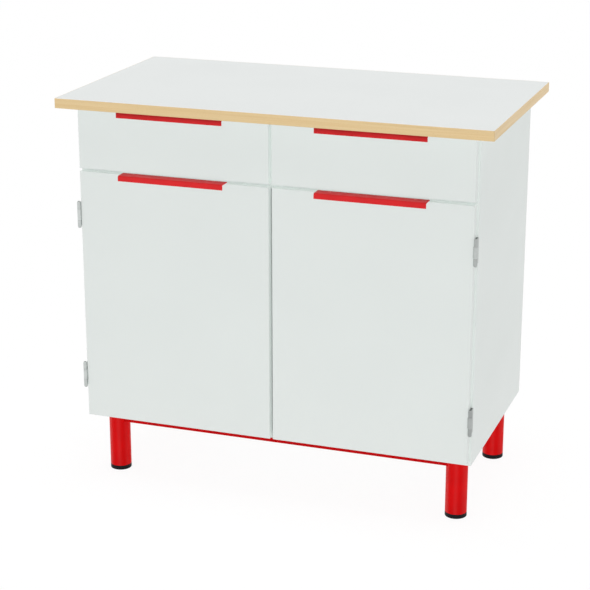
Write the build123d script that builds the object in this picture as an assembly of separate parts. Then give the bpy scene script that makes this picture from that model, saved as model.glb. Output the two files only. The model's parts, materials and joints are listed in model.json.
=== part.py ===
from build123d import *
import os

# White sideboard on a red steel base: two drawers above a cupboard with two hinged doors.
# Millimetres. The origin is on the floor under the middle of the worktop.
# +X is to the right, +Y to the back and +Z up. The fronts face -Y.

# Worktop
top_width = 1000.0
top_depth = 550.0
top_thickness = 22.0
top_overhang_side = 38.0
top_overhang_front = 49.0
top_overhang_rear = 13.5
core_corner_radius = 2.0
edging_thickness = 1.0
edging_arris = 0.5

# Carcass boards
board = 18.0
board_edge_radius = 0.6
carcass_height = 746.0
side_drop = 3.5
top_rail_width = 80.0
back_thickness = 8.0

# Base frame and legs
leg_radius = 25.0
leg_wall = 2.0
leg_height = 123.5
leg_side_gap = 2.7
leg_front_setback = 34.6
leg_rear_setback = 41.4
frame_width = 35.0
frame_height = 30.0
frame_wall = 2.0
frame_corner_radius = 2.0
frame_access_radius = 6.0
cap_height = 10.5
cap_plug_length = 12.0
cap_plug_play = 0.2
cap_edge_radius = 1.0

# Fronts
front_thickness = 18.0
front_inset = 4.5
front_gap = 7.5
front_edge_radius = 0.8
top_reveal = 4.0
drawer_front_height = 136.0
door_lift = 9.0

# Edge handles
handle_length = 250.0
handle_reach = 17.5
handle_grip = 12.5
handle_drop = 10.5
handle_sheet = 1.8
handle_bend_radius = 4.0
handle_least_bend = 0.1
handle_screw_pitch = 192.0

# Shelf and its pins
shelf_setback = 22.0
shelf_play = 1.0
shelf_rear_play = 2.0
pin_hole_radius = 2.5
pin_hole_depth = 9.0
pin_hole_pitch = 32.0
pin_holes_each_way = 3
pin_hole_from_edge = 50.0
pin_play = 0.05
pin_length = 17.0
shelf_pin_rise = 279.0

# Drawer boxes and runners
runner_gap = 12.7
runner_height = 35.0
runner_sheet = 1.5
runner_front_setback = 2.0
runner_rear_gap = 27.5
runner_play = 0.3
runner_web_play = 0.5
runner_screws = 3
runner_screw_margin = 35.0
runner_screw_length = 10.0
drawer_lift = 12.0
drawer_headroom = 14.75
drawer_rear_gap = 32.0
drawer_side = 12.0
drawer_bottom_thickness = 4.0
drawer_groove_depth = 5.0
drawer_groove_height = 8.0
drawer_groove_play = 0.2
drawer_dowel_radius = 3.0
drawer_dowel_in_front = 10.0
drawer_dowel_in_side = 20.0
drawer_dowel_margin = 12.0

# Knuckle hinges
hinge_from_door_end = 101.0
hinge_axis_forward = 1.5
hinge_leaf_play = 0.7
knuckle_radius = 4.4
knuckle_door_gap = 0.2
hinge_half_height = 28.0
door_knuckle_half = 12.7
knuckle_play = 0.3
hinge_tip_height = 3.0
hinge_tip_radius = 3.2
hinge_sheet = 1.8
hinge_pin_radius = 2.2
hinge_pin_recess = 1.0
hinge_pin_fit = 0.02
hinge_pin_running = 0.05
frame_leaf_length = 43.0
door_leaf_length = 32.0
leaf_screw_spread = 20.0
leaf_screw_from_end = 9.6
door_knuckle_room = 0.5

# Door catches
catch_width = 40.0
catch_depth = 14.0
catch_height = 13.0
catch_from_middle = 20.0
catch_play = 0.3
strike_sheet = 1.5
strike_side_margin = 4.0
strike_end_margin = 2.0
catch_screw_margin = 8.0

# Fasteners
screw_radius = 1.75
screw_head_radius = 3.4
screw_head_height = 1.7
screw_bite = 12.0
screw_play = 0.1
back_screw_count = 4
back_screw_margin = 84.0
worktop_screw_from_side = 222.0
frame_screw_from_leg = 208.0
box_screw_margin = 8.0
box_base_screw_margin = 100.0
pan_head_radius = 4.5
pan_head_height = 2.5
recess_length = 3.6
recess_width = 0.9
recess_depth = 1.2
dowel_radius = 4.0
dowel_in_side = 12.0
dowel_in_board = 20.0
dowel_play = 0.1
dowel_from_cam = 28.0
cam_radius = 7.5
cam_height = 12.5
cam_from_end = 34.0
cam_from_edge = 60.0
cam_play = 0.1
cam_bolt_radius = 2.5
cam_bolt_bite = 11.0
cam_bolt_head_radius = 3.5
cam_bolt_head_length = 4.0

# Heights
frame_top = leg_height + frame_height
bottom_top = frame_top + board
side_bottom = frame_top - side_drop
carcass_top = side_bottom + carcass_height
rail_bottom = carcass_top - board
drawer_front_top = carcass_top - top_reveal
drawer_front_bottom = drawer_front_top - drawer_front_height
door_top = drawer_front_bottom - front_gap
door_bottom = side_bottom + door_lift
mid_top = door_top + front_gap / 2 + board / 2
mid_bottom = mid_top - board
shelf_pin_height = bottom_top + shelf_pin_rise
shelf_bottom = shelf_pin_height + pin_hole_radius
box_low = mid_top + drawer_lift
box_high = rail_bottom - drawer_headroom

# Widths, from the middle outwards
side_outer = top_width / 2 - top_overhang_side
side_inner = side_outer - board
front_outer = side_outer - front_inset
front_inner = front_gap / 2
front_middle = (front_outer + front_inner) / 2
leg_x = side_inner - leg_side_gap - leg_radius

# Depths, from the front to the back
carcass_front = -top_depth / 2 + top_overhang_front
carcass_rear = top_depth / 2 - top_overhang_rear
board_rear = carcass_rear - back_thickness
front_back = carcass_front - hinge_sheet - hinge_leaf_play
front_face = front_back - front_thickness
box_rear = board_rear - drawer_rear_gap
leg_front_y = carcass_front + leg_front_setback + leg_radius
leg_rear_y = carcass_rear - leg_rear_setback - leg_radius

# The hinge axis
axis_x = front_outer + knuckle_radius + knuckle_door_gap
axis_y = front_face - hinge_axis_forward

sides = {"left": -1, "right": 1}
nodes = {}


def block(x, y, z):
    """A box between a low and a high value on each axis."""
    spans = [sorted(pair) for pair in (x, y, z)]
    middle = [(low + high) / 2 for low, high in spans]
    size = [high - low for low, high in spans]
    return Pos(*middle) * Box(*size)


def bar(start, direction, radius, length, end_radius=None):
    """A round bar, or a cone with an end radius, that starts at a point and runs along a direction."""
    place = Plane(origin=start, z_dir=direction)
    low = (Align.CENTER, Align.CENTER, Align.MIN)
    if end_radius is None:
        return place * Cylinder(radius, length, align=low)
    return place * Cone(radius, end_radius, length, align=low)


def on_side(shape, sign):
    """A shape made for the right-hand side, mirrored for the left."""
    return shape if sign > 0 else mirror(shape, about=Plane.YZ)


def add(name, shape):
    """Keep a shape under its node's name, joining it to the group of that name."""
    nodes.setdefault(name, []).append(shape)


def cut(name, tool):
    """Cut a hole or a recess in a node's pieces."""
    nodes[name] = [shape - tool for shape in nodes[name]]


def wood_screw(point, direction, length, play=0.0):
    """A countersunk screw whose flat head lies at the point."""
    head = bar(point, direction, screw_head_radius + play, screw_head_height, screw_radius + play)
    return head + bar(point, direction, screw_radius + play, length + play)


def cross_recess(point, direction):
    """The cross that a driver fits, sunk from the point into a head."""
    low = (Align.CENTER, Align.CENTER, Align.MIN)
    cross = Box(recess_length, recess_width, recess_depth, align=low)
    cross += Box(recess_width, recess_length, recess_depth, align=low)
    return Plane(origin=point, z_dir=direction) * cross


def fasten(group, point, direction, length, through):
    """Drive a countersunk screw into pieces and give each of them its hole."""
    hole = wood_screw(point, direction, length, screw_play)
    for name in through:
        cut(name, hole)
    add(group, wood_screw(point, direction, length) - cross_recess(point, direction))


def spaced(low, high, count):
    """Evenly spaced places from a low to a high value."""
    return [low + (high - low) * step / (count - 1) for step in range(count)]


def worktop_slab(inset):
    """A worktop slab with upright rounded corners, smaller all round by an inset."""
    radius = core_corner_radius + edging_thickness - inset
    outline = RectangleRounded(top_width - 2 * inset, top_depth - 2 * inset, radius)
    return Pos(0, 0, carcass_top) * extrude(outline, top_thickness)


def make_worktop():
    """The laminated board and the beech-coloured band around its edge."""
    core = worktop_slab(edging_thickness)
    band = worktop_slab(0)
    for face in (band.faces().sort_by(Axis.Z)[0], band.faces().sort_by(Axis.Z)[-1]):
        band = fillet(band.edges().filter_by(lambda edge: edge in face.edges()), edging_arris)
    add("worktop_board", core)
    add("worktop_edging", band - core)


def make_carcass():
    """Sides, bottom, board under the drawers, divider, top rails and back."""
    depth = (carcass_front, board_rear)
    for side, sign in sides.items():
        across = (sign * side_inner, sign * side_outer)
        panel = block(across, (carcass_front, carcass_rear), (side_bottom, carcass_top))
        top = panel.faces().sort_by(Axis.Z)[-1]
        panel = fillet(panel.edges().filter_by(lambda edge: edge not in top.edges()), board_edge_radius)
        add(f"side_panel_{side}", panel)
    width = (-side_inner, side_inner)
    add("bottom_panel", block(width, depth, (frame_top, bottom_top)))
    add("mid_panel", block(width, depth, (mid_bottom, mid_top)))
    add("drawer_divider", block((-board / 2, board / 2), depth, (mid_top, rail_bottom)))
    rails = {
        "top_rail_front": (carcass_front, carcass_front + top_rail_width),
        "top_rail_rear": (board_rear - top_rail_width, board_rear),
    }
    for name, span in rails.items():
        add(name, block(width, span, (rail_bottom, carcass_top)))
    add("back_panel", block(width, (board_rear, carcass_rear), (frame_top, carcass_top)))


def make_carcass_joints():
    """Cams under the boards' ends, their bolts in the sides and the dowels beside them."""
    board_places = (carcass_front + cam_from_edge, board_rear - cam_from_edge)
    places = {
        "bottom_panel": (frame_top, board_places),
        "mid_panel": (mid_bottom, board_places),
        "top_rail_front": (rail_bottom, [carcass_front + top_rail_width / 2]),
        "top_rail_rear": (rail_bottom, [board_rear - top_rail_width / 2]),
    }
    for name, (low, depths) in places.items():
        for side, sign in sides.items():
            for y in depths:
                cam_x = side_inner - cam_from_end
                cam_at = (sign * cam_x, y, low)
                head_at = (sign * cam_x, y, low + board / 2)
                bore_at = (sign * (cam_x - cam_play), y, low + board / 2)
                outward = (sign, 0, 0)
                bolt_length = cam_from_end + cam_bolt_bite
                bore = bar(bore_at, outward, cam_bolt_head_radius + cam_play, cam_from_end + cam_play)
                cam = bar(cam_at, (0, 0, 1), cam_radius, cam_height)
                bolt = bar(head_at, outward, cam_bolt_radius, bolt_length)
                bolt += bar(head_at, outward, cam_bolt_head_radius, cam_bolt_head_length)
                cut(name, bar(cam_at, (0, 0, 1), cam_radius + cam_play, cam_height + cam_play))
                cut(name, bore)
                cut(f"side_panel_{side}", bar(head_at, outward, cam_bolt_radius, bolt_length))
                add("cam_fittings", cam - bore - cross_recess(cam_at, (0, 0, 1)))
                add("cam_fittings", bolt)
                for step in (-dowel_from_cam, dowel_from_cam):
                    start = (sign * (side_inner - dowel_in_board), y + step, low + board / 2)
                    length = dowel_in_board + dowel_in_side
                    hole = bar(start, (sign, 0, 0), dowel_radius + dowel_play, length)
                    cut(name, hole)
                    cut(f"side_panel_{side}", hole)
                    add("dowels", bar(start, (sign, 0, 0), dowel_radius, length))


def make_shelf():
    """The loose shelf, its pins and the rows of holes that it can be moved to."""
    half = side_inner - shelf_play
    depth = (carcass_front + shelf_setback, board_rear - shelf_rear_play)
    add("shelf", block((-half, half), depth, (shelf_bottom, shelf_bottom + board)))
    columns = (carcass_front + pin_hole_from_edge, board_rear - pin_hole_from_edge)
    steps = range(-pin_holes_each_way, pin_holes_each_way + 1)
    for side, sign in sides.items():
        for y in columns:
            for step in steps:
                start = (sign * side_inner, y, shelf_pin_height + step * pin_hole_pitch)
                hole = bar(start, (sign, 0, 0), pin_hole_radius + pin_play, pin_hole_depth)
                cut(f"side_panel_{side}", hole)
            tip = side_inner + pin_hole_depth - pin_length
            start = (sign * tip, y, shelf_pin_height)
            add("shelf_pins", bar(start, (sign, 0, 0), pin_hole_radius, pin_length))


def make_base():
    """Four leg tubes with their plastic caps, and the flat tubes that are welded between the legs."""
    outer_x = leg_x + frame_width / 2
    outer_y = (leg_front_y - frame_width / 2, leg_rear_y + frame_width / 2)
    inner_x = leg_x - frame_width / 2
    inner_y = (leg_front_y + frame_width / 2, leg_rear_y - frame_width / 2)
    levels = (leg_height, frame_top)
    frame = block((-outer_x, outer_x), outer_y, levels) - block((-inner_x, inner_x), inner_y, levels)
    frame = fillet(frame.edges().filter_by(Axis.X) + frame.edges().filter_by(Axis.Y), frame_corner_radius)

    wall = frame_wall
    hollow_levels = (leg_height + wall, frame_top - wall)
    hollow_x = outer_x - wall
    core_x = inner_x + wall
    hollow = block((-hollow_x, hollow_x), (outer_y[0] + wall, outer_y[1] - wall), hollow_levels)
    hollow -= block((-core_x, core_x), (inner_y[0] - wall, inner_y[1] + wall), hollow_levels)
    add("base_frame", frame - hollow)

    for side, sign in sides.items():
        for row, y in (("front", leg_front_y), ("rear", leg_rear_y)):
            foot = (sign * leg_x, y, 0)
            cut("base_frame", bar(foot, (0, 0, 1), leg_radius, frame_top))
            tube_foot = (sign * leg_x, y, cap_height)
            tube_length = frame_top - cap_height
            tube = bar(tube_foot, (0, 0, 1), leg_radius, tube_length)
            tube -= bar(tube_foot, (0, 0, 1), leg_radius - leg_wall, tube_length)
            add(f"leg_{row}_{side}", tube)
            cap = bar(foot, (0, 0, 1), leg_radius, cap_height)
            cap = fillet(cap.edges().sort_by(Axis.Z)[0], cap_edge_radius)
            plug_radius = leg_radius - leg_wall - cap_plug_play
            cap += bar(tube_foot, (0, 0, 1), plug_radius, cap_plug_length)
            add(f"foot_cap_{row}_{side}", cap)


def make_carcass_screws():
    """Screws that hold the divider, the worktop, the back and the base frame."""
    rail_places = (carcass_front + top_rail_width / 2, board_rear - top_rail_width / 2)
    into_divider = board + screw_bite
    for rail, y in zip(("top_rail_front", "top_rail_rear"), rail_places):
        fasten("carcass_screws", (0, y, carcass_top), (0, 0, -1), into_divider, [rail, "drawer_divider"])
        through = ["mid_panel", "drawer_divider"]
        fasten("carcass_screws", (0, y, mid_bottom), (0, 0, 1), into_divider, through)
        for sign in sides.values():
            point = (sign * (side_inner - worktop_screw_from_side), y, rail_bottom)
            fasten("carcass_screws", point, (0, 0, 1), into_divider, [rail, "worktop_board"])

    rows = {
        "bottom_panel": frame_top + board / 2,
        "mid_panel": mid_bottom + board / 2,
        "top_rail_rear": rail_bottom + board / 2,
    }
    reach = side_inner - back_screw_margin
    for name, z in rows.items():
        for x in spaced(-reach, reach, back_screw_count):
            point = (x, carcass_rear, z)
            into_edge = back_thickness + screw_bite
            fasten("carcass_screws", point, (0, -1, 0), into_edge, ["back_panel", name])

    inner_wall = frame_top - frame_wall
    for sign in sides.values():
        x = sign * (leg_x - frame_screw_from_leg)
        for y in (leg_front_y, leg_rear_y):
            start = (x, y, inner_wall)
            shank_length = frame_wall + screw_bite
            hole = bar(start, (0, 0, 1), screw_radius + screw_play, shank_length + screw_play)
            cut("base_frame", hole)
            cut("bottom_panel", hole)
            cut("base_frame", bar((x, y, leg_height), (0, 0, 1), frame_access_radius, frame_wall))
            head = bar(start, (0, 0, -1), pan_head_radius, pan_head_height)
            head -= cross_recess((x, y, inner_wall - pan_head_height), (0, 0, 1))
            add("carcass_screws", head + bar(start, (0, 0, 1), screw_radius, shank_length))


def make_handle(name, sign, edge_top, panel, screws):
    """A bent strip screwed on a front's top edge, with a lip to pull in front of the board."""
    rear = front_face + handle_grip
    nose = front_face - handle_reach
    top = edge_top + handle_sheet
    low = edge_top - handle_drop
    lip_back = nose + handle_sheet
    points = [(rear, edge_top), (rear, top), (nose, top)]
    points += [(nose, low), (lip_back, low), (lip_back, edge_top)]
    section = make_face(Polyline(*points, close=True))
    outer_corner = section.vertices().sort_by_distance((nose, top, 0))[0]
    section = fillet(outer_corner, handle_bend_radius)
    inner_corner = section.vertices().sort_by_distance((lip_back, edge_top, 0))[0]
    section = fillet(inner_corner, max(handle_bend_radius - handle_sheet, handle_least_bend))
    start = sign * front_middle - handle_length / 2
    strip = extrude(Plane.YZ.offset(start) * section, handle_length)
    add(name, strip)
    for step in (-handle_screw_pitch / 2, handle_screw_pitch / 2):
        point = (sign * front_middle + step, front_face + handle_grip / 2, top)
        fasten(screws, point, (0, 0, -1), handle_sheet + screw_bite, [name, panel])


def rounded_front(sign, low, high):
    """A front board with its outer edges eased."""
    across = (sign * front_inner, sign * front_outer)
    panel = block(across, (front_face, front_back), (low, high))
    outer = panel.faces().sort_by(Axis.Y)[0]
    return fillet(panel.edges().filter_by(lambda edge: edge in outer.edges()), front_edge_radius)


def make_runners(drawer, sign, wall, inward, place, wall_name):
    """A fixed channel screwed to the carcass and a smaller one, screwed to the drawer, inside it."""
    centre = (box_low + box_high) / 2
    half = runner_height / 2
    length = (carcass_front + runner_front_setback, board_rear - runner_rear_gap)
    drawer_face = wall + inward * runner_gap
    web_inner = wall + inward * runner_sheet
    slide_web = drawer_face - inward * runner_sheet

    def channel(web, face, lip, half):
        """A web between two faces, with a lip along its top and its bottom edge."""
        shape = block((sign * web, sign * face), length, (centre - half, centre + half))
        for low, high in ((half - runner_sheet, half), (-half, -half + runner_sheet)):
            shape += block((sign * lip, sign * face), length, (centre + low, centre + high))
        return shape

    fixed_name = f"fixed_runners_{drawer}"
    slide_name = f"drawer_runner_{drawer}_{place}"
    add(fixed_name, channel(web_inner, wall, slide_web - inward * runner_web_play, half))
    slide_half = half - runner_sheet - runner_play
    add(slide_name, channel(slide_web, drawer_face, web_inner + inward * runner_sheet, slide_half))

    side_name = f"drawer_side_{drawer}_{place}"
    for y in spaced(length[0] + runner_screw_margin, length[1] - runner_screw_margin, runner_screws):
        to_wall = (-sign * inward, 0, 0)
        to_drawer = (sign * inward, 0, 0)
        at_wall = (sign * web_inner, y, centre)
        at_drawer = (sign * slide_web, y, centre)
        fasten("carcass_screws", at_wall, to_wall, runner_screw_length, [fixed_name, wall_name])
        screws = f"drawer_screws_{drawer}"
        fasten(screws, at_drawer, to_drawer, runner_screw_length, [slide_name, side_name])


def make_drawer_box(drawer, sign):
    """Two sides, a back between them and a bottom in grooves, with the screws that hold them."""
    near = board / 2 + runner_gap
    far = side_inner - runner_gap
    groove_low = box_low + drawer_groove_height
    base_top = groove_low + drawer_bottom_thickness
    groove_top = base_top + drawer_groove_play
    inside = (near + drawer_side, far - drawer_side)
    grooved = (inside[0] - drawer_groove_depth, inside[1] + drawer_groove_depth)
    front_groove = front_back - drawer_groove_depth
    groove_across = (sign * grooved[0], sign * grooved[1])
    groove = block(groove_across, (front_groove, box_rear), (groove_low, groove_top))
    cut(f"drawer_front_{drawer}", groove)
    for place, across in (("inner", (near, inside[0])), ("outer", (inside[1], far))):
        wall_across = (sign * across[0], sign * across[1])
        wall = block(wall_across, (front_back, box_rear), (box_low, box_high))
        side_name = f"drawer_side_{drawer}_{place}"
        add(side_name, wall - groove)
        for z in (groove_top + drawer_dowel_margin, box_high - drawer_dowel_margin):
            start = (sign * sum(across) / 2, front_back - drawer_dowel_in_front, z)
            length = drawer_dowel_in_front + drawer_dowel_in_side
            hole = bar(start, (0, 1, 0), drawer_dowel_radius + dowel_play, length)
            cut(f"drawer_front_{drawer}", hole)
            cut(side_name, hole)
            add(f"drawer_dowels_{drawer}", bar(start, (0, 1, 0), drawer_dowel_radius, length))

    screws = f"drawer_screws_{drawer}"
    back_name = f"drawer_back_{drawer}"
    back_across = (sign * inside[0], sign * inside[1])
    add(back_name, block(back_across, (box_rear - drawer_side, box_rear), (groove_top, box_high)))
    base_name = f"drawer_bottom_{drawer}"
    base_across = (sign * (grooved[0] + drawer_groove_play), sign * (grooved[1] - drawer_groove_play))
    base_depth = (front_groove + drawer_groove_play, box_rear)
    add(base_name, block(base_across, base_depth, (groove_low, base_top)))

    y = box_rear - drawer_side / 2
    for place, x, inward in (("inner", near, sign), ("outer", far, -sign)):
        for z in (groove_top + box_screw_margin, box_high - box_screw_margin):
            through = [f"drawer_side_{drawer}_{place}", back_name]
            fasten(screws, (sign * x, y, z), (inward, 0, 0), drawer_side + screw_bite, through)
    for x in (inside[0] + box_base_screw_margin, inside[1] - box_base_screw_margin):
        point = (sign * x, y, groove_low)
        fasten(screws, point, (0, 0, 1), drawer_bottom_thickness + screw_bite, [base_name, back_name])


def make_drawer(drawer, sign):
    """A drawer: front, handle, box and its two runners."""
    front_name = f"drawer_front_{drawer}"
    screws = f"drawer_screws_{drawer}"
    add(front_name, rounded_front(sign, drawer_front_bottom, drawer_front_top))
    make_handle(f"drawer_handle_{drawer}", sign, drawer_front_top, front_name, screws)
    make_drawer_box(drawer, sign)
    make_runners(drawer, sign, board / 2, 1, "inner", "drawer_divider")
    make_runners(drawer, sign, side_inner, -1, "outer", f"side_panel_{drawer}")


def hinge_bar(middle, low, high, radius):
    """A round stretch about the right-hand hinge axis, between two heights about its middle."""
    return bar((axis_x, axis_y, middle + low), (0, 0, 1), radius, high - low)


def frame_leaf(middle):
    """The carcass half of a hinge: two knuckles and a strap that wraps the side panel's edge."""
    reach = (middle - hinge_half_height, middle + hinge_half_height)
    outside = axis_x + hinge_sheet / 2
    inside = side_inner - hinge_sheet
    edge = (carcass_front - hinge_sheet, carcass_front)
    leaf = block((axis_x - hinge_sheet / 2, outside), (axis_y, carcass_front), reach)
    leaf += block((inside, outside), edge, reach)
    leaf += block((inside, side_inner), (edge[0], carcass_front + frame_leaf_length), reach)
    clear = door_knuckle_half + knuckle_play
    leaf -= hinge_bar(middle, -clear, clear, knuckle_radius + door_knuckle_room)
    for up in (-1, 1):
        low, high = sorted((up * clear, up * hinge_half_height))
        leaf += hinge_bar(middle, low, high, knuckle_radius)
        tip_at = (axis_x, axis_y, middle + up * hinge_half_height)
        leaf += bar(tip_at, (0, 0, up), knuckle_radius, hinge_tip_height, hinge_tip_radius)
    ends = hinge_half_height + hinge_tip_height
    return leaf - hinge_bar(middle, -ends, ends, hinge_pin_radius + hinge_pin_fit)


def door_leaf_plates(middle):
    """The flat parts of a door leaf, which are let into the door's edge and back."""
    reach = (middle - door_knuckle_half, middle + door_knuckle_half)
    plate_reach = (middle - hinge_half_height, middle + hinge_half_height)
    inner_edge = front_outer - hinge_sheet
    plates = block((inner_edge, front_outer), (front_face, front_back), reach)
    back = (front_back - hinge_sheet, front_back)
    return plates + block((front_outer - door_leaf_length, inner_edge), back, plate_reach)


def door_leaf(middle):
    """The door half of a hinge: the middle knuckle, a bridge and the let-in plates."""
    reach = (middle - door_knuckle_half, middle + door_knuckle_half)
    bridge_out = axis_x - knuckle_radius / 2
    bridge = block((front_outer, bridge_out), (front_face, front_face + hinge_sheet), reach)
    leaf = door_leaf_plates(middle) + bridge
    leaf += hinge_bar(middle, -door_knuckle_half, door_knuckle_half, knuckle_radius)
    hole = hinge_bar(middle, -door_knuckle_half, door_knuckle_half, hinge_pin_radius + hinge_pin_running)
    return leaf - hole


def make_door(side, sign):
    """A door: panel, handle, hinge leaves with their screws, and the strike plate."""
    panel_name = f"door_panel_{side}"
    screws = f"door_screws_{side}"
    add(panel_name, rounded_front(sign, door_bottom, door_top))
    make_handle(f"door_handle_{side}", sign, door_top, panel_name, screws)
    for middle in (door_top - hinge_from_door_end, door_bottom + hinge_from_door_end):
        frame_name = f"hinge_frame_leaves_{side}"
        door_name = f"hinge_door_leaves_{side}"
        add(frame_name, on_side(frame_leaf(middle), sign))
        add(door_name, on_side(door_leaf(middle), sign))
        cut(panel_name, on_side(door_leaf_plates(middle), sign))

        half_pin = hinge_half_height + hinge_tip_height - hinge_pin_recess
        add("hinge_pins", on_side(hinge_bar(middle, -half_pin, half_pin, hinge_pin_radius), sign))

        frame_hole_y = carcass_front + frame_leaf_length - leaf_screw_from_end
        door_hole_x = front_outer - door_leaf_length + leaf_screw_from_end
        for step in (-1, 0, 1):
            z = middle + step * leaf_screw_spread
            point = (sign * (side_inner - hinge_sheet), frame_hole_y, z)
            fasten("carcass_screws", point, (sign, 0, 0), screw_bite, [frame_name, f"side_panel_{side}"])
            point = (sign * door_hole_x, front_back, z)
            fasten(screws, point, (0, -1, 0), screw_bite, [door_name, panel_name])

    near = catch_from_middle
    far = near + catch_width
    catch_front = front_back + strike_sheet + catch_play
    catch_levels = (mid_bottom - catch_height, mid_bottom)
    catch = block((sign * near, sign * far), (catch_front, catch_front + catch_depth), catch_levels)
    add("door_catches", catch)
    for x in (near + catch_screw_margin, far - catch_screw_margin):
        point = (sign * x, catch_front + catch_depth / 2, catch_levels[0])
        fasten("carcass_screws", point, (0, 0, 1), catch_height + screw_bite, ["door_catches", "mid_panel"])
    across = (sign * (near + strike_side_margin), sign * (far - strike_side_margin))
    strike_levels = (catch_levels[0] + strike_end_margin, catch_levels[1] - strike_end_margin)
    strike_name = f"strike_plate_{side}"
    add(strike_name, block(across, (front_back, front_back + strike_sheet), strike_levels))
    point = (sign * (near + far) / 2, front_back + strike_sheet, sum(strike_levels) / 2)
    fasten(screws, point, (0, -1, 0), screw_bite, [strike_name, panel_name])


make_worktop()
make_carcass()
make_carcass_joints()
make_shelf()
make_base()
make_carcass_screws()
for side, sign in sides.items():
    make_drawer(side, sign)
    make_door(side, sign)

os.makedirs("parts", exist_ok=True)
for name, shapes in nodes.items():
    solids = [solid for shape in shapes for solid in shape.solids()]
    export_step(solids[0] if len(solids) == 1 else Compound(solids), f"parts/{name}.step")
print(len(nodes), "nodes")
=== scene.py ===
import json
import math

import bmesh
import bpy
from mathutils import Matrix, Vector


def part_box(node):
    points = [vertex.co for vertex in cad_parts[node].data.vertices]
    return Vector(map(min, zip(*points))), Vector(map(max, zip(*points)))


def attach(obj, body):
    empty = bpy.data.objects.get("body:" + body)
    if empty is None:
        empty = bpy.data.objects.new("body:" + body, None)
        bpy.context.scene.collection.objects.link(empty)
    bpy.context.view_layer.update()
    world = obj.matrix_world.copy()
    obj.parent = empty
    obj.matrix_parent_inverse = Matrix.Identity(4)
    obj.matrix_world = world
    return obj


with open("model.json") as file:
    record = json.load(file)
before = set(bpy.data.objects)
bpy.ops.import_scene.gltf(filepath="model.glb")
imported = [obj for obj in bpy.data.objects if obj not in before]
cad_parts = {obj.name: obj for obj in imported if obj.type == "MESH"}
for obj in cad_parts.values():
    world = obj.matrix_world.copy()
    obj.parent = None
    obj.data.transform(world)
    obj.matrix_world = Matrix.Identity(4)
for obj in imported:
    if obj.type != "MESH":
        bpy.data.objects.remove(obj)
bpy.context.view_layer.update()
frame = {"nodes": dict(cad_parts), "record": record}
nodes = frame["nodes"]

# Colours are linear and written as the surface itself, without light on it
WHITE_BOARD = (0.735, 0.775, 0.756)
WHITE_LAMINATE = (0.745, 0.770, 0.762)
DRAWER_BOARD = (0.72, 0.745, 0.73)
BEECH_LIGHT = (0.77, 0.578, 0.312)
BEECH_DARK = (0.66, 0.460, 0.215)
BEECH_FLECK = (0.50, 0.32, 0.135)
RED_TUBE = (0.665, 0.003, 0.004)
RED_HANDLE = (0.66, 0.025, 0.028)
BLACK_PLASTIC = (0.0080, 0.0090, 0.0100)
NICKEL = (0.49, 0.515, 0.505)
ZINC = (0.60, 0.62, 0.64)
RUNNER_PAINT = (0.66, 0.67, 0.66)
CATCH_WHITE = (0.78, 0.79, 0.78)

# Roughness where a surface is smoothest and where it is dullest
BOARD_ROUGHNESS = (0.40, 0.52)
LAMINATE_ROUGHNESS = (0.38, 0.48)
DRAWER_ROUGHNESS = (0.5, 0.6)
BEECH_ROUGHNESS = (0.38, 0.50)
TUBE_ROUGHNESS = (0.30, 0.40)
HANDLE_ROUGHNESS = (0.34, 0.42)
RUNNER_ROUGHNESS = (0.32, 0.42)
CAP_ROUGHNESS = (0.45, 0.58)
CATCH_ROUGHNESS = (0.36, 0.48)
NICKEL_ROUGHNESS = (0.30, 0.42)
ZINC_ROUGHNESS = (0.26, 0.40)
SCREW_ROUGHNESS = (0.28, 0.40)
DOWEL_ROUGHNESS = (0.6, 0.7)

# Depths of the grain in the finishes, in metres
SKIN_DEPTH = 0.0002
FINE_SKIN_DEPTH = 0.0001
# Keeps the grain of the worktop's side edges apart from that of its front and rear edges
SIDE_GRAIN_SHIFT = 17.0
# Depth of a countersunk head, below the face that it is sunk in
SCREW_HEAD_HEIGHT = 0.0017
# How far painted shade reaches out of the corners of plated pieces, and how dark it and the painted
# shade lower down are
CORNER_SHADE_REACH = 0.005
CORNER_SHADE_TONE = 0.2
LOW_SHADE_TONE = 0.5
# The hinges carry painted light and shade: the right ones are painted darker than the left ones, and the
# lower one darkest
FRAME_LEAF_PAINTED_LIGHT = {"left": 1.24, "right": 0.93}
DOOR_LEAF_PAINTED_LIGHT = {"left": 1.34, "right": 1.14}
HINGE_LOW_SHADE = {"left": 0.0, "right": 0.38}
LOWER_HINGE_HEIGHT = 0.25
UPPER_HINGE_HEIGHT = 0.65
# Weld beads between the legs and the square tubes
BEAD_RADIUS = 0.0016
BEAD_STEP = 0.0006
BEAD_RIPPLE = 0.0026
BEAD_RIPPLE_SHARE = 0.16
BEAD_SIDES = 8

# The photograph's camera, solved from the worktop's and the fronts' straight edges
CAMERA_PLACE = (1.2847, -3.7311, 1.7094)
CAMERA_YAW = math.radians(19.401)
CAMERA_PITCH = math.radians(17.984)
CAMERA_LENS = 107.4
CAMERA_SENSOR = 36.0

# Strengths of the world and the lamps. The fills go round from the front right to the front left
AMBIENT = 0.44
OVERHEAD = 0.48
FILLS = (0.75, 0.59, 0.55, 1.02)
LEG_FILL = 0.80
# Heights of the lamps over the horizon and their widths, in degrees
OVERHEAD_RISE = 86.0
FILL_RISE = 26.0
DOOR_HANDLE_FILL_RISE = 12.0
DRAWER_HANDLE_FILL_RISE = 32.0
LEG_STREAK_RISE = -18.0
SOFT_SPREAD = 30.0
LEG_STREAK_SPREAD = 36.0
# Strength of each streak of gloss on the legs, by its lamp's azimuth in degrees
LEG_STREAKS = {6.0: 1.45, 96.0: 0.7, 186.0: 1.45, 262.0: 1.15}

# The floor's colour where it throws light back, and the share of the shadow that it shows
FLOOR_COLOUR = 0.82
FLOOR_SHADOW_SHARE = 0.12
FLOOR_HALF = 30.0
WHITE = (1.0, 1.0, 1.0, 1.0)


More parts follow.
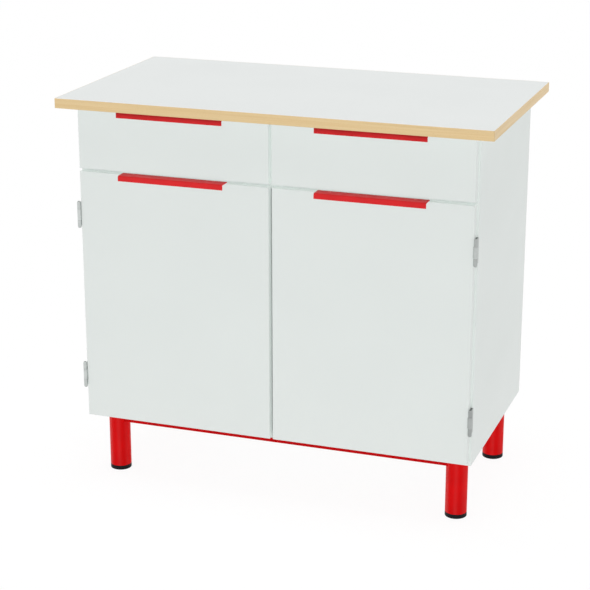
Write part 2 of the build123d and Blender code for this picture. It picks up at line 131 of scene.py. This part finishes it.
def node(tree, kind, sockets=None, **settings):
    """A shader node with its settings, and its sockets set to values or linked to other sockets."""
    made = tree.nodes.new("ShaderNode" + kind)
    for key, value in settings.items():
        setattr(made, key, value)
    for key, value in (sockets or {}).items():
        if isinstance(value, bpy.types.NodeSocket):
            tree.links.new(value, made.inputs[key])
        else:
            made.inputs[key].default_value = value
    return made


def blank_material(name, **sockets):
    """A material with a Principled shader, whose plain numbers are set on its own sockets."""
    material = bpy.data.materials.new(name)
    material.use_nodes = True
    tree = material.node_tree
    shader = tree.nodes["Principled BSDF"]
    for key, value in sockets.items():
        shader.inputs[key.replace("_", " ")].default_value = value
    return material, tree, shader


def object_place(tree):
    """The point on the piece in its own rest frame, in metres."""
    return node(tree, "TexCoord").outputs["Object"]


def object_height(tree):
    """The height of the point on the piece in its own rest frame, in metres."""
    return node(tree, "SeparateXYZ", {"Vector": object_place(tree)}).outputs["Z"]


def noise(tree, scale, detail, stretch=(1.0, 1.0, 1.0), vector=None, roughness=0.5):
    """A noise value, near 0.5 on average, with features of about one over the scale in metres."""
    if vector is None:
        sockets = {"Vector": object_place(tree), "Scale": stretch}
        vector = node(tree, "Mapping", sockets).outputs["Vector"]
    sockets = {"Vector": vector, "Scale": scale, "Detail": detail, "Roughness": roughness}
    return node(tree, "TexNoise", sockets).outputs["Fac"]


def remap(tree, value, low, high, start=0.3, end=0.7):
    """A value's stretch from start to end, laid onto low to high."""
    sockets = {"Value": value, "From Min": start, "From Max": end, "To Min": low, "To Max": high}
    return node(tree, "MapRange", sockets).outputs["Result"]


def full_noise(tree, scale, detail, stretch=(1.0, 1.0, 1.0)):
    """A noise value whose usual stretch is laid onto 0 to 1."""
    return remap(tree, noise(tree, scale, detail, stretch), 0.0, 1.0)


def math_node(tree, operation, first, second=0.0):
    """The result of a Math node on two values."""
    return node(tree, "Math", {0: first, 1: second}, operation=operation).outputs[0]


def blend_colours(tree, factor, first, second):
    """A colour between two others."""
    return node(tree, "Mix", {0: factor, 6: first, 7: second}, data_type="RGBA").outputs[2]


def rgba(colour):
    """An opaque colour."""
    return (*colour, 1.0)


def shade(colour, factor):
    """A colour made darker or lighter by a factor."""
    return tuple(channel * factor for channel in colour)


def tones(tree, factor, colour, first_shade, last_shade):
    """A colour that goes from one shade of itself to another."""
    return blend_colours(tree, factor, rgba(shade(colour, first_shade)), rgba(shade(colour, last_shade)))


def add_bump(tree, shader, height, strength, distance=SKIN_DEPTH):
    """Raise a shader's surface by a height value."""
    sockets = {"Height": height, "Strength": strength, "Distance": distance}
    normal = node(tree, "Bump", sockets).outputs["Normal"]
    tree.links.new(normal, shader.inputs["Normal"])


def board_face(name, colour, peel_scale, peel_strength, rough=BOARD_ROUGHNESS, specular=0.5):
    """Melamine or laminate: a pearled skin, faint clouding and a little uneven gloss from wiping."""
    material, tree, shader = blank_material(name, IOR=1.5, Specular_IOR_Level=specular)
    clouds = tones(tree, full_noise(tree, 5.0, 4.0), colour, 0.985, 1.012)
    specks = tones(tree, full_noise(tree, 1600.0, 1.0), colour, 0.982, 1.015)
    tree.links.new(blend_colours(tree, 0.45, clouds, specks), shader.inputs["Base Color"])
    wiped = noise(tree, 3.0, 5.0, (1.0, 1.0, 2.6))
    tree.links.new(remap(tree, wiped, *rough), shader.inputs["Roughness"])
    add_bump(tree, shader, noise(tree, peel_scale, 3.0, roughness=0.6), peel_strength)
    return material


def beech_band():
    """Beech-look edging: long streaks that follow each edge of the worktop, with short dark flecks."""
    material, tree, shader = blank_material("beech_band", IOR=1.5)
    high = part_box("worktop_edging")[1]
    split = node(tree, "SeparateXYZ", {"Vector": object_place(tree)})
    x, y, z = (split.outputs[axis] for axis in "XYZ")
    from_side = math_node(tree, "SUBTRACT", high.x, math_node(tree, "ABSOLUTE", x))
    from_front = math_node(tree, "SUBTRACT", high.y, math_node(tree, "ABSOLUTE", y))
    on_side = math_node(tree, "LESS_THAN", from_side, from_front)
    along = node(tree, "Mix", {"Factor": on_side, "A": x, "B": y}).outputs["Result"]
    inwards = math_node(tree, "MINIMUM", from_side, from_front)
    lane = math_node(tree, "ADD", z, inwards)

    def grain(along_scale, lane_scale, detail, roughness=0.55):
        sockets = {
            "X": math_node(tree, "MULTIPLY", along, along_scale),
            "Y": math_node(tree, "MULTIPLY", on_side, SIDE_GRAIN_SHIFT),
            "Z": math_node(tree, "MULTIPLY", lane, lane_scale),
        }
        vector = node(tree, "CombineXYZ", sockets).outputs["Vector"]
        return noise(tree, 1.0, detail, vector=vector, roughness=roughness)

    streaks = remap(tree, grain(3.5, 240.0, 5.0), 0.0, 1.0, 0.34, 0.66)
    lengthwise = remap(tree, grain(1.1, 30.0, 3.0), 0.0, 1.0, 0.35, 0.65)
    wood = blend_colours(tree, streaks, rgba(BEECH_DARK), rgba(BEECH_LIGHT))
    body = blend_colours(tree, 0.45, wood, tones(tree, lengthwise, BEECH_LIGHT, 0.93, 1.03))
    flecks = remap(tree, grain(260.0, 1500.0, 1.0, 0.4), 0.0, 0.55, 0.64, 0.74)
    colour = blend_colours(tree, flecks, body, rgba(BEECH_FLECK))
    tree.links.new(colour, shader.inputs["Base Color"])
    smoothest, dullest = BEECH_ROUGHNESS
    tree.links.new(remap(tree, streaks, dullest, smoothest, 0.0, 1.0), shader.inputs["Roughness"])
    add_bump(tree, shader, grain(30.0, 900.0, 2.0), 0.12)
    return material


def powder_coat(name, colour, specular, rough):
    """Baked powder paint: a fine orange peel, and faint clouds in its colour."""
    material, tree, shader = blank_material(name, IOR=1.5, Specular_IOR_Level=specular)
    paint = tones(tree, full_noise(tree, 22.0, 4.0), colour, 0.93, 1.05)
    tree.links.new(paint, shader.inputs["Base Color"])
    tree.links.new(remap(tree, noise(tree, 60.0, 3.0), *rough), shader.inputs["Roughness"])
    add_bump(tree, shader, noise(tree, 520.0, 2.0), 0.10)
    return material


def moulded_plastic(name, colour, specular, rough):
    """Moulded plastic with the fine sparked grain of its mould, rubbed smoother in places."""
    material, tree, shader = blank_material(name, IOR=1.46, Specular_IOR_Level=specular)
    rubbed = full_noise(tree, 45.0, 4.0)
    tree.links.new(tones(tree, rubbed, colour, 0.9, 1.1), shader.inputs["Base Color"])
    tree.links.new(remap(tree, rubbed, *rough, 0.0, 1.0), shader.inputs["Roughness"])
    add_bump(tree, shader, noise(tree, 2400.0, 2.0), 0.2, FINE_SKIN_DEPTH)
    return material


def plated_metal(name, colour, rough, brush=(1.0, 1.0, 40.0), corner_shade=0.5, low_shade=0.0):
    """Plated sheet or wire: brush lines and duller patches, with painted shade in its corners and
    painted shade that darkens it lower down.
    """
    material, tree, shader = blank_material(name, Metallic=1.0)
    lines = noise(tree, 180.0, 3.0, brush)
    dull = full_noise(tree, 70.0, 3.0)
    plated = tones(tree, dull, colour, 0.9, 1.06)
    # Painted shade: the colour darkens lower down, between the two hinge heights
    low = remap(tree, object_height(tree), low_shade, 0.0, LOWER_HINGE_HEIGHT, UPPER_HINGE_HEIGHT)
    low_shaded = blend_colours(tree, low, plated, rgba(shade(colour, LOW_SHADE_TONE)))
    # Painted shade: darker where the ambient occlusion node finds faces close by, in corners and
    # crevices
    open_air = node(tree, "AmbientOcclusion", {"Distance": CORNER_SHADE_REACH}, samples=8).outputs["AO"]
    shaded_share = remap(tree, open_air, corner_shade, 0.0, 0.1, 0.75)
    corner_shaded = blend_colours(tree, shaded_share, low_shaded, rgba(shade(colour, CORNER_SHADE_TONE)))
    tree.links.new(corner_shaded, shader.inputs["Base Color"])
    worn = math_node(tree, "ADD", remap(tree, lines, -0.05, 0.05), remap(tree, dull, *rough, 0.0, 1.0))
    tree.links.new(worn, shader.inputs["Roughness"])
    add_bump(tree, shader, lines, 0.08, FINE_SKIN_DEPTH)
    return material


def painted_screws(name, painted_above):
    """Zinc screws whose heads are painted with the handle that they hold, above a height."""
    material, tree, shader = blank_material(name, IOR=1.5)
    painted = math_node(tree, "GREATER_THAN", object_height(tree), painted_above)
    worn = full_noise(tree, 300.0, 3.0)
    zinc = tones(tree, worn, ZINC, 0.9, 1.06)
    red = tones(tree, worn, RED_HANDLE, 0.93, 1.03)
    tree.links.new(blend_colours(tree, painted, zinc, red), shader.inputs["Base Color"])
    tree.links.new(math_node(tree, "SUBTRACT", 1.0, painted), shader.inputs["Metallic"])
    tree.links.new(remap(tree, worn, *SCREW_ROUGHNESS, 0.0, 1.0), shader.inputs["Roughness"])
    return material


def dowel_wood():
    """Turned beech: streaks along the dowel."""
    material, tree, shader = blank_material("dowel_wood", IOR=1.45)
    streaks = full_noise(tree, 160.0, 4.0, (0.06, 1.0, 1.0))
    wood = blend_colours(tree, streaks, rgba(BEECH_DARK), rgba(BEECH_LIGHT))
    tree.links.new(wood, shader.inputs["Base Color"])
    smoothest, dullest = DOWEL_ROUGHNESS
    tree.links.new(remap(tree, streaks, dullest, smoothest, 0.0, 1.0), shader.inputs["Roughness"])
    return material


def make_finishes():
    """The finish for each material slot in the record, and for the nodes that have their own."""
    finishes = {
        "white_board": board_face("white_melamine", WHITE_BOARD, 900.0, 0.10),
        "white_laminate": board_face(
            "white_laminate", WHITE_LAMINATE, 620.0, 0.14, LAMINATE_ROUGHNESS, specular=0.3
        ),
        "drawer_board": board_face("drawer_board", DRAWER_BOARD, 1300.0, 0.12, DRAWER_ROUGHNESS),
        "beech_edging": beech_band(),
        "red_paint": powder_coat("red_tube_paint", RED_TUBE, 0.045, TUBE_ROUGHNESS),
        "handle_paint": powder_coat("red_handle_paint", RED_HANDLE, 0.05, HANDLE_ROUGHNESS),
        "black_plastic": moulded_plastic("black_plastic", BLACK_PLASTIC, 0.12, CAP_ROUGHNESS),
        "hinge_nickel": plated_metal("nickel_pin", NICKEL, NICKEL_ROUGHNESS, corner_shade=0.9),
        "zinc_steel": plated_metal("bright_zinc", ZINC, ZINC_ROUGHNESS, brush=(6.0, 6.0, 6.0)),
        "runner_steel": powder_coat("runner_paint", RUNNER_PAINT, 0.5, RUNNER_ROUGHNESS),
        "catch_plastic": moulded_plastic("white_plastic", CATCH_WHITE, 0.45, CATCH_ROUGHNESS),
        "beech_dowel": dowel_wood(),
    }
    # Painted light and shade on the hinge leaves: lighter on the left, darker on the right and darker
    # still lower down on the right
    for side, low_shade in HINGE_LOW_SHADE.items():
        for kind, shades, corner_shade in (("frame", FRAME_LEAF_PAINTED_LIGHT, 0.9), ("door", DOOR_LEAF_PAINTED_LIGHT, 0.1)):
            name = f"hinge_{kind}_leaves_{side}"
            plated = shade(NICKEL, shades[side])
            finishes[name] = plated_metal(name, plated, NICKEL_ROUGHNESS, corner_shade=corner_shade, low_shade=low_shade)
    return finishes


def dress_nodes(finishes):
    """Give each carried-over node its finish."""
    slots = {part["node"]: part["material_slot"] for part in frame["record"]["subparts"]}
    for name, piece in nodes.items():
        finish = name if name in finishes else slots[name]
        if "_handle_" in name:
            finish = "handle_paint"
        piece.data.materials.clear()
        piece.data.materials.append(finishes[finish])
    for kind in ("drawer", "door"):
        handle_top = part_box(f"{kind}_handle_left")[1].z
        screws = painted_screws(f"{kind}_screws", handle_top - SCREW_HEAD_HEIGHT)
        for side in ("left", "right"):
            nodes[f"{kind}_screws_{side}"].data.materials[0] = screws


def node_names(start):
    """The names of the carried-over nodes that begin with a word."""
    return [name for name in nodes if name.startswith(start)]


def mesh_object(name, shape, material):
    """An object in the scene from a finished bmesh, with one material."""
    mesh = bpy.data.meshes.new(name)
    shape.to_mesh(mesh)
    shape.free()
    mesh.materials.append(material)
    made = bpy.data.objects.new(name, mesh)
    bpy.context.scene.collection.objects.link(made)
    return made


def bead_path(centre, radius, direction, half_width, low, high):
    """Points down one side of a square tube, under it and up the other, where it meets a round leg."""
    across = Vector((-direction.y, direction.x, 0.0))
    rise, width = high - low, 2.0 * half_width
    steps = round((2.0 * rise + width) / BEAD_STEP)
    for step in range(steps + 1):
        gone = (2.0 * rise + width) * step / steps
        offset = min(max(gone - rise, 0.0), width) - half_width
        height = low + max(rise - gone, gone - rise - width, 0.0)
        reach = math.sqrt(radius**2 - offset**2)
        yield Vector((centre.x, centre.y, height)) + direction * reach + across * offset


def add_bead(shape, path, direction):
    """A rippled round bead along a path."""
    angles = [math.tau * side / BEAD_SIDES for side in range(BEAD_SIDES)]
    rings = []
    for index, point in enumerate(path):
        tangent = path[min(index + 1, len(path) - 1)] - path[max(index - 1, 0)]
        sideways = tangent.cross(direction).normalized()
        upright = tangent.cross(sideways).normalized()
        ripple = math.sin(math.tau * index * BEAD_STEP / BEAD_RIPPLE)
        size = BEAD_RADIUS * (1.0 + BEAD_RIPPLE_SHARE * ripple)
        rings.append([
            shape.verts.new(point + (sideways * math.cos(angle) + upright * math.sin(angle)) * size)
            for angle in angles
        ])
    for first, second in zip(rings, rings[1:]):
        for side in range(BEAD_SIDES):
            after = (side + 1) % BEAD_SIDES
            shape.faces.new((first[side], first[after], second[after], second[side]))
    shape.faces.new(reversed(rings[0]))
    shape.faces.new(rings[-1])


def make_weld_beads(finish):
    """The seams between each leg and the two square tubes that end at it."""
    frame_low, frame_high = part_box("base_frame")
    levels = (frame_low.z, frame_high.z - BEAD_RADIUS)
    shape = bmesh.new()
    for name in node_names("leg_"):
        low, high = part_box(name)
        centre, radius = (low + high) / 2.0, (high.x - low.x) / 2.0
        half_width = frame_high.x - abs(centre.x)
        for direction in (Vector((-centre.x, 0.0, 0.0)), Vector((0.0, -centre.y, 0.0))):
            direction.normalize()
            path = list(bead_path(centre, radius, direction, half_width, *levels))
            add_bead(shape, path, direction)
    bmesh.ops.recalc_face_normals(shape, faces=shape.faces)
    beads = mesh_object("weld_beads", shape, finish)
    beads.data.shade_smooth()
    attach(beads, "carcass")


def seen_directly(tree):
    """1 for rays from the camera, in mirrors or through glass, and 0 for rays that light the object."""
    path = node(tree, "LightPath").outputs
    shown = math_node(tree, "MAXIMUM", path["Is Camera Ray"], path["Is Glossy Ray"])
    return math_node(tree, "MAXIMUM", shown, path["Is Transmission Ray"])


def floor_finish():
    """White with a faint shadow where it is seen, and a pale grey where it throws light back."""
    material = bpy.data.materials.new("floor")
    material.use_nodes = True
    tree = material.node_tree
    tree.nodes.clear()
    grey = rgba((FLOOR_COLOUR,) * 3)
    bouncing = node(tree, "BsdfDiffuse", {"Color": grey}).outputs["BSDF"]
    shadowed = node(tree, "BsdfDiffuse", {"Color": WHITE}).outputs["BSDF"]
    even = node(tree, "Emission", {"Color": WHITE, "Strength": 1.0}).outputs["Emission"]
    seen = node(tree, "MixShader", {0: FLOOR_SHADOW_SHARE, 1: even, 2: shadowed}).outputs[0]
    mixed = node(tree, "MixShader", {0: seen_directly(tree), 1: bouncing, 2: seen}).outputs[0]
    node(tree, "OutputMaterial", {"Surface": mixed})
    return material


def make_floor():
    """A wide flat floor under the object."""
    shape = bmesh.new()
    bmesh.ops.create_grid(shape, x_segments=1, y_segments=1, size=FLOOR_HALF)
    floor = mesh_object("floor", shape, floor_finish())


def make_world():
    """White all round where it is seen, and a plain soft light for the rest."""
    world = bpy.data.worlds.new("studio")
    bpy.context.scene.world = world
    world.use_nodes = True
    tree = world.node_tree
    strength = remap(tree, seen_directly(tree), AMBIENT, 1.0, 0.0, 1.0)
    background = tree.nodes["Background"]
    background.inputs["Color"].default_value = WHITE
    tree.links.new(strength, background.inputs["Strength"])


def make_sun(name, strength, azimuth, elevation, spread=SOFT_SPREAD, shadow=True, skips=(), lights=()):
    """A soft lamp far away, at azimuth 0 in front and 90 on the right. It may skip or choose nodes."""
    lamp = bpy.data.lights.new(name, "SUN")
    lamp.energy = strength
    lamp.angle = math.radians(spread)
    lamp.use_shadow = shadow
    turn, rise = math.radians(azimuth), math.radians(elevation)
    towards = Vector((math.sin(turn) * math.cos(rise), -math.cos(turn) * math.cos(rise), math.sin(rise)))
    holder = bpy.data.objects.new(name, lamp)
    holder.rotation_euler = towards.to_track_quat("Z", "Y").to_euler()
    bpy.context.scene.collection.objects.link(holder)
    if skips or lights:
        listed = bpy.data.collections.new(f"{name}_nodes")
        holder.light_linking.receiver_collection = listed
        for node_name in (*skips, *lights):
            listed.objects.link(nodes[node_name])
        for link in listed.collection_objects:
            link.light_linking.link_state = "EXCLUDE" if skips else "INCLUDE"
    return holder


def light_the_object():
    """An overhead lamp and four fills. Shaded pieces, handles and legs have fills of their own."""
    door_handles, drawer_handles = node_names("door_handle"), node_names("drawer_handle")
    legs = node_names("leg_")
    make_sun("overhead", OVERHEAD, 0.0, OVERHEAD_RISE, skips=node_names("hinge_"))
    for quarter, strength in enumerate(FILLS):
        azimuth = 45.0 + 90.0 * quarter
        from_front = math.cos(math.radians(azimuth)) > 0.0
        shaded = ["bottom_panel", "shelf", "base_frame"]
        if from_front:
            shaded.append("back_panel")
        apart = [*shaded, *door_handles, *drawer_handles, *legs]
        plain_fills = (
            make_sun(f"fill_{quarter}", strength, azimuth, FILL_RISE, shadow=False, skips=apart),
            make_sun(f"shaded_fill_{quarter}", strength, azimuth, FILL_RISE, lights=shaded),
        )
        for holder in plain_fills:
            holder.visible_glossy = False
        make_sun(f"leg_fill_{quarter}", LEG_FILL, azimuth, FILL_RISE, shadow=False, lights=legs)
        make_sun(
            f"door_handle_fill_{quarter}", strength, azimuth, DOOR_HANDLE_FILL_RISE,
            shadow=False, lights=door_handles,
        )
        make_sun(
            f"drawer_handle_fill_{quarter}", strength, azimuth, DRAWER_HANDLE_FILL_RISE,
            lights=drawer_handles,
        )
    for azimuth, strength in LEG_STREAKS.items():
        streak = make_sun(
            f"leg_streak_{azimuth:.0f}", strength, azimuth, LEG_STREAK_RISE, LEG_STREAK_SPREAD,
            shadow=False, lights=legs,
        )
        streak.visible_diffuse = False
    for name in door_handles + drawer_handles:
        nodes[name].visible_diffuse = False
        nodes[name].visible_shadow = False


def make_camera():
    """A long lens at the height and the angle of the photograph."""
    camera = bpy.data.cameras.new("camera")
    camera.lens = CAMERA_LENS
    camera.sensor_width = CAMERA_SENSOR
    holder = bpy.data.objects.new("camera", camera)
    turn = Matrix.Rotation(CAMERA_YAW, 4, "Z")
    tilt = Matrix.Rotation(math.pi / 2 - CAMERA_PITCH, 4, "X")
    holder.matrix_world = Matrix.Translation(CAMERA_PLACE) @ turn @ tilt
    bpy.context.scene.collection.objects.link(holder)
    bpy.context.scene.camera = holder


bpy.context.scene.view_settings.view_transform = "Standard"
make_camera()
make_world()
light_the_object()
make_floor()
finishes = make_finishes()
dress_nodes(finishes)
make_weld_beads(finishes["red_paint"])
